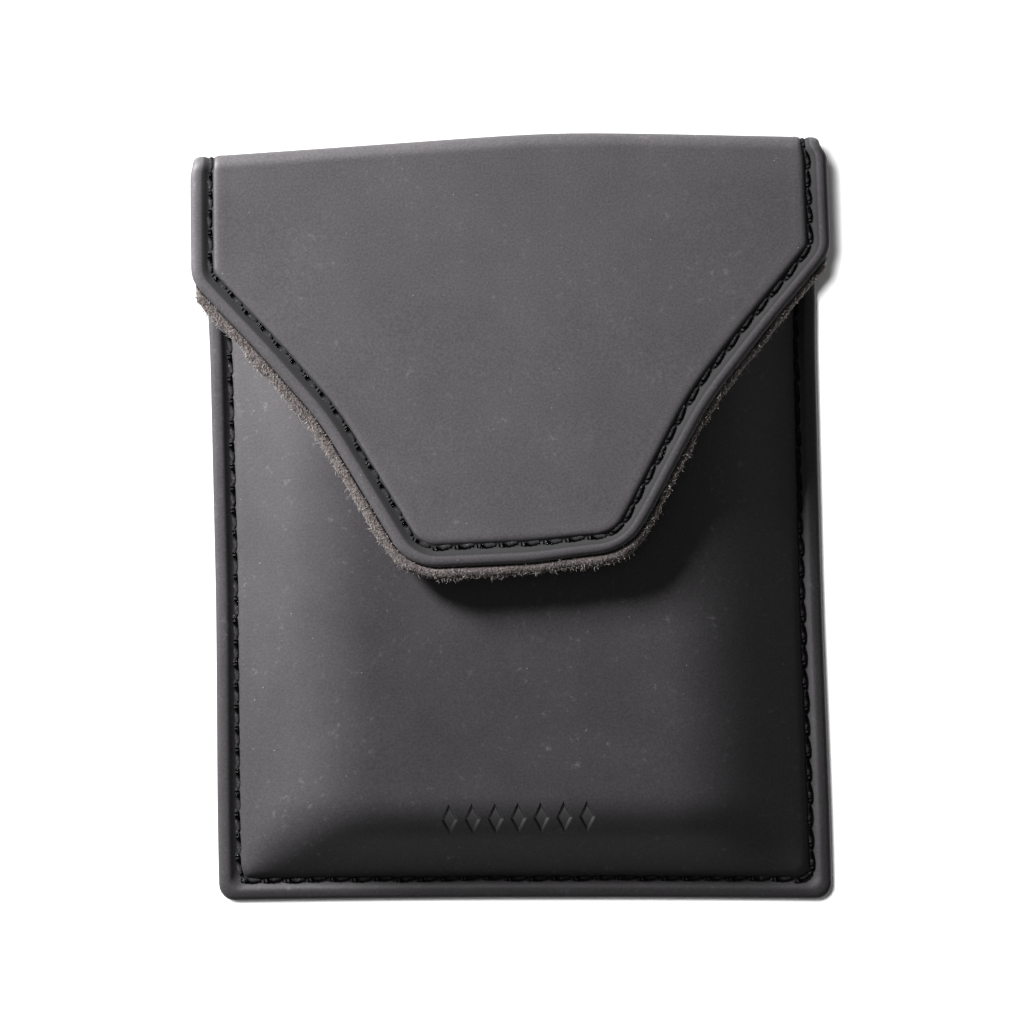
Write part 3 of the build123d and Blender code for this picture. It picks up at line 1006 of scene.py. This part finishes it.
front_skin = add_object(
    "front_leather",
    closed_skin(
        front_shape, FRONT_EDGE, front_face, FRONT_UNDER, front_flesh, -38.0, 26, lambda p: p
    ),
    front_leather,
)
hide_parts("front_panel")


def front_lining_top(x, y, level):
    return dome(x, y) - LEATHER - 0.2


def front_lining_under(x, y, level):
    return dome(x, y) - LEATHER - LINING - 0.02 - BOARD * smoothstep((dome(x, y) - 8) / 1.2)


board_top_y = MOUTH_Y - BOARD_BELOW_MOUTH
front_board_shape = outline_shape(
    [(board_high.x, board_top_y), (board_high.x, board_low.y), (0.0, board_low.y)], (4.0,)
)
stiffener = add_object(
    "front_stiffener",
    closed_skin(
        front_board_shape,
        [(0.0, 0), (4.0, 0)],
        lambda x, y, level: dome(x, y) - LEATHER - 0.05,
        [(0.0, 0), (4.0, 0)],
        lambda x, y, level: dome(x, y) - LEATHER - BOARD,
        -20.0,
        12,
        lambda p: p,
    ),
    board,
)
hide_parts("front_board")

front_suede = add_object(
    "front_lining_suede",
    closed_skin(
        front_shape,
        [(0.3, 0), (4.5, 0), (7.0, 0)],
        front_lining_top,
        [(0.3, 0), (4.5, 0), (7.0, 0)],
        front_lining_under,
        -38.0,
        14,
        lambda p: p,
    ),
    suede,
)
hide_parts("front_lining")

# ----------------------------------------------------------------------------- stitches


def one_stitch(length, width, height, dive):
    """One stitch of thread along X: a slightly flat oval that twists, both ends drawn down."""
    bm = bmesh.new()
    sections = 7
    bmesh.ops.create_circle(bm, cap_ends=True, segments=6, radius=0.5)
    bmesh.ops.rotate(bm, cent=(0, 0, 0), matrix=Matrix.Rotation(math.pi / 2, 3, "Y"), verts=bm.verts)
    end = list(bm.faces)
    stages = [list(bm.verts)]
    for _ in range(sections):
        made = bmesh.ops.extrude_face_region(bm, geom=end)["geom"]
        end = [f for f in made if isinstance(f, bmesh.types.BMFace)]
        stages.append([v for v in made if isinstance(v, bmesh.types.BMVert)])
    for k, verts in enumerate(stages):
        t = k / sections
        fat = math.sin(math.pi * min(max(t, 0.05), 0.95)) ** 0.16
        twist = Matrix.Rotation(math.tau * 0.75 * t, 3, "X")
        drop = dive * abs(2 * t - 1) ** 5
        for v in verts:
            ring = twist @ Vector((0, v.co.y * 1.12, v.co.z * 0.92))
            v.co = ((t - 0.5) * length, ring.y * width * fat, ring.z * height * fat - drop)
    bmesh.ops.recalc_face_normals(bm, faces=bm.faces)
    for f in bm.faces:
        f.smooth = True
    mesh = bpy.data.meshes.new("stitch_pattern")
    bm.to_mesh(mesh)
    bm.free()
    return mesh


def stations(path, pitch, phase=0.5):
    """Middle point and direction of each stitch along a run."""
    spots = []
    travelled = 0.0
    due = pitch * phase
    for a, b in zip(path, path[1:]):
        length = (b - a).length
        while length > 0 and due <= travelled + length:
            spots.append((a.lerp(b, (due - travelled) / length), (b - a).normalized()))
            due += pitch
        travelled += length
    return spots


def stitch_run(name, path, level, up, shape_point, slant, seed):
    """A run of single stitches along a path, at one level; up is 1 or -1."""
    rng = random.Random(seed)
    pattern = one_stitch(STITCH_LENGTH, THREAD_WIDTH, THREAD_HEIGHT, THREAD_DIVE)
    bm = bmesh.new()
    for spot, along in stations(path, STITCH_PITCH):
        before = len(bm.verts)
        bm.from_mesh(pattern)
        bm.verts.ensure_lookup_table()
        fresh = bm.verts[before:]
        angle = math.atan2(along.y, along.x) + slant + rng.uniform(-0.08, 0.08)
        turn = Matrix.Rotation(angle, 4, "Z")
        if up < 0:
            turn = turn @ Matrix.Rotation(math.pi, 4, "X")
        aside = Vector((-along.y, along.x)) * rng.uniform(-0.11, 0.11)
        move = Matrix.Translation((spot.x + aside.x, spot.y + aside.y, level(spot.x, spot.y)))
        bmesh.ops.transform(bm, matrix=move @ turn, verts=fresh)
    for v in bm.verts:
        v.co = settle(shape_point(v.co))
    bpy.data.meshes.remove(pattern)
    return add_object(name, bm, thread)


def level_at(value):
    return lambda x, y: value


flap_run = whole(half_path(flap_shape, SEAM_FLAP))
back_run = whole(half_path(back_shape, SEAM_BODY))
front_run = whole(half_path(front_shape, SEAM_BODY))

flap_needle = stitch_run(
    "flap_seam_stitches", flap_run, level_at(CASE_TOP - 0.32), 1, lay_flap, 0.06, 1
)
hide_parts("flap_needle_thread", "spine_thread_left", "spine_thread_right")
flap_bobbin = stitch_run(
    "flap_seam_inner_stitches", flap_run, level_at(FLAP_LINING_RIM + 0.10), -1, lay_flap, 0.04, 2
)
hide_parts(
    "flap_bobbin_thread", "spine_lining_thread_left", "spine_lining_thread_right"
)
front_needle = stitch_run(
    "pocket_seam_stitches", front_run, level_at(RIM_Z - 0.22), 1, lambda p: p, 0.10, 3
)
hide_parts("body_needle_thread")
back_bobbin = stitch_run(
    "pocket_seam_back_stitches", back_run, level_at(0.34), -1, under_fold, 0.05, 4
)
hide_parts("body_bobbin_thread")

# stitches of the seam above the mouth, one run on each side of the middle, laid round the fold with
# the back
neck_stop = [p for p in back_run if p.y >= MOUTH_Y + 0.4]
for side, node in ((-1, "neck_thread_left"), (1, "neck_thread_right")):
    run = [p for p in neck_stop if p.x * side > 0]
    neck = stitch_run(
        node.replace("thread", "stitches"),
        run,
        level_at(RIM_LINING_TOP + 0.04),
        1,
        under_fold,
        0.05,
        6 + side,
    )
    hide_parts(node)
    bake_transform(neck)

mouth_line = [Vector((x * 0.5, MOUTH_Y - SEAM_MOUTH)) for x in range(-75, 76)]
mouth_needle = stitch_run(
    "mouth_seam_stitches", mouth_line, lambda x, y: dome(x, y) + 0.02, 1, lambda p: p, 0.05, 8
)
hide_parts("mouth_needle_thread")
mouth_bobbin = stitch_run(
    "mouth_seam_inner_stitches",
    mouth_line,
    lambda x, y: front_lining_under(x, y, None) - 0.02,
    -1,
    lambda p: p,
    0.05,
    9,
)
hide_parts("mouth_bobbin_thread")

# -------------------------------------------------------------------------- suede fibres


def fibre_pattern(rng):
    """One curved fibre along Z, 1 long: a three-sided tube that thins to its tip."""
    bm = bmesh.new()
    bmesh.ops.create_circle(bm, cap_ends=True, segments=3, radius=0.075)
    end = list(bm.faces)
    bend = Vector((rng.uniform(-1, 1), rng.uniform(-1, 1), 0))
    heading = Vector((0, 0, 1))
    for _ in range(4):
        grown = bmesh.ops.extrude_face_region(bm, geom=end)["geom"]
        bmesh.ops.delete(bm, geom=end, context="FACES_ONLY")
        end = [f for f in grown if isinstance(f, bmesh.types.BMFace)]
        verts = [v for v in grown if isinstance(v, bmesh.types.BMVert)]
        heading = (heading + bend * 0.4).normalized()
        bmesh.ops.translate(bm, vec=heading / 4, verts=verts)
        middle = sum((v.co for v in verts), Vector()) / len(verts)
        for v in verts:
            v.co = middle + (v.co - middle) * 0.75
    bmesh.ops.recalc_face_normals(bm, faces=bm.faces)
    mesh = bpy.data.meshes.new("fibre_pattern")
    bm.to_mesh(mesh)
    bm.free()
    return mesh


def add_copy(bm, pattern, place):
    """Adds a copy of a pattern mesh, moved to its place."""
    before = len(bm.verts)
    bm.from_mesh(pattern)
    bm.verts.ensure_lookup_table()
    for v in bm.verts[before:]:
        v.co = place @ v.co


def edge_fibres():
    rng = random.Random(21)
    patterns = [fibre_pattern(rng) for _ in range(12)]
    bm = bmesh.new()
    edge = ragged([Vector((*p, 0)) for p in whole(half_outline(flap_shape, -SUEDE_OUT + 0.3))], 0.35)
    inner = whole(half_outline(flap_shape, 0.1))
    for _ in range(FIBRE_COUNT):
        k = rng.randrange(len(edge))
        across = rng.random() ** 0.7
        spot = inner[k].lerp(edge[k].xy, across * 1.25)
        if abs(spot.x) > FLAP_HALF - 0.5 or spot.y > 37.5:
            continue
        outward = (edge[k].xy - inner[k]).normalized()
        heading = Vector((outward.x, outward.y, 0)) * rng.uniform(0.1, 1.2)
        heading += Vector((rng.uniform(-0.7, 0.7), rng.uniform(-0.7, 0.7), rng.uniform(-0.1, 0.8)))
        root = Vector((spot.x, spot.y, FLAP_LINING_TOP + 0.66 - 0.7 * max(0.0, across - 0.6)))
        turn = heading.to_track_quat("Z", "Y").to_matrix().to_4x4()
        size = Matrix.Scale(rng.uniform(0.2, 0.7), 4)
        add_copy(bm, rng.choice(patterns), Matrix.Translation(root) @ turn @ size)
    for v in bm.verts:
        v.co = settle(lay_flap(v.co))
    for pattern in patterns:
        bpy.data.meshes.remove(pattern)
    return bm


fibres = add_object("flap_edge_fibres", edge_fibres(), frayed_suede)
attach(fibres, "flap")

# ------------------------------------------------------------------------- what rides on what

# the flap's and the back's pieces are baked where they lie; the pocket's pieces ride on the case
for piece in (flap_leather, flap_suede, flap_needle, flap_bobbin):
    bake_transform(piece)
for piece in (back_leather, back_suede, back_bobbin):
    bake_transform(piece)
for piece in (front_skin, front_suede, stiffener, front_needle, mouth_needle, mouth_bobbin):
    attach(piece, "case")

# the back board and the body's magnet are the CAD solids; the others are hidden by new pieces
CAD_FINISH = {
    "back_board": board,
    "front_board": board,
    "flap_board": board,
    "body_magnet": nickel,
    "flap_magnet": nickel,
    "back_panel": leather,
    "front_panel": leather,
    "spine_leather": leather,
    "flap_panel": leather,
    "back_lining": suede,
    "front_lining": suede,
    "spine_lining": suede,
    "flap_lining": suede,
}
for node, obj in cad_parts.items():
    obj.data.materials.clear()
    obj.data.materials.append(CAD_FINISH.get(node, thread))

# -------------------------------------------------------------------------- the studio


def paper_floor():
    bm = bmesh.new()
    bmesh.ops.create_grid(bm, x_segments=1, y_segments=1, size=3000)
    bmesh.ops.translate(bm, vec=(0, 0, -0.03), verts=bm.verts)
    bmesh.ops.transform(bm, matrix=Matrix.Scale(MM, 4), verts=bm.verts)
    mesh = bpy.data.meshes.new("paper_floor")
    bm.to_mesh(mesh)
    bm.free()
    mesh.materials.append(seamless_paper("white_paper"))
    floor = bpy.data.objects.new("paper_floor", mesh)
    bpy.context.scene.collection.objects.link(floor)
    return floor


def soft_light(name, place, size, power, aim=(0, 0, 0.005)):
    data = bpy.data.lights.new(name, "AREA")
    data.shape = "SQUARE"
    data.size = size
    data.energy = power
    light = bpy.data.objects.new(name, data)
    light.location = place
    light.rotation_mode = "QUATERNION"
    light.rotation_quaternion = (Vector(aim) - Vector(place)).to_track_quat("-Z", "Y")
    bpy.context.scene.collection.objects.link(light)
    return light


def lamp_reaches(lamp, floor, state):
    """INCLUDE lets the lamp reach only the floor, EXCLUDE everything but the floor."""
    reach = bpy.data.collections.new(lamp.name + "_reach")
    reach.objects.link(floor)
    lamp.light_linking.receiver_collection = reach
    reach.collection_objects[0].light_linking.link_state = state


def studio_world(strength):
    world = bpy.data.worlds.new("studio")
    world.use_nodes = True
    tree = world.node_tree
    tree.nodes.clear()
    air = add_node(
        tree, "ShaderNodeBackground", {"Color": colour("ffffff"), "Strength": strength}
    )
    add_node(tree, "ShaderNodeOutputWorld", {"Surface": air.outputs[0]})
    bpy.context.scene.world = world


def overhead_camera():
    """Straight above the case, turned a little, on a long lens."""
    distance = 0.75
    view_width = 0.1475
    data = bpy.data.cameras.new("camera")
    data.sensor_width = 36
    data.lens = 36 * distance / view_width
    camera = bpy.data.objects.new("camera", data)
    camera.location = (-0.00054, 0.00074, distance + 0.008)
    camera.rotation_euler = (0, 0, math.radians(-1.35))
    bpy.context.scene.collection.objects.link(camera)
    bpy.context.scene.camera = camera


# places and sizes in metres, power in watts; the soft box leaves the paper to its own lamp
floor = paper_floor()
key = soft_light("softbox", (-0.335, 0.285, 0.165), 0.10, 9.8)
lamp_reaches(key, floor, "EXCLUDE")
floor_lamp = soft_light("floor_lamp", (-0.14, 0.12, 0.90), 0.16, 13)
lamp_reaches(floor_lamp, floor, "INCLUDE")
studio_world(0.135)
overhead_camera()
bpy.context.scene.view_settings.view_transform = "Standard"
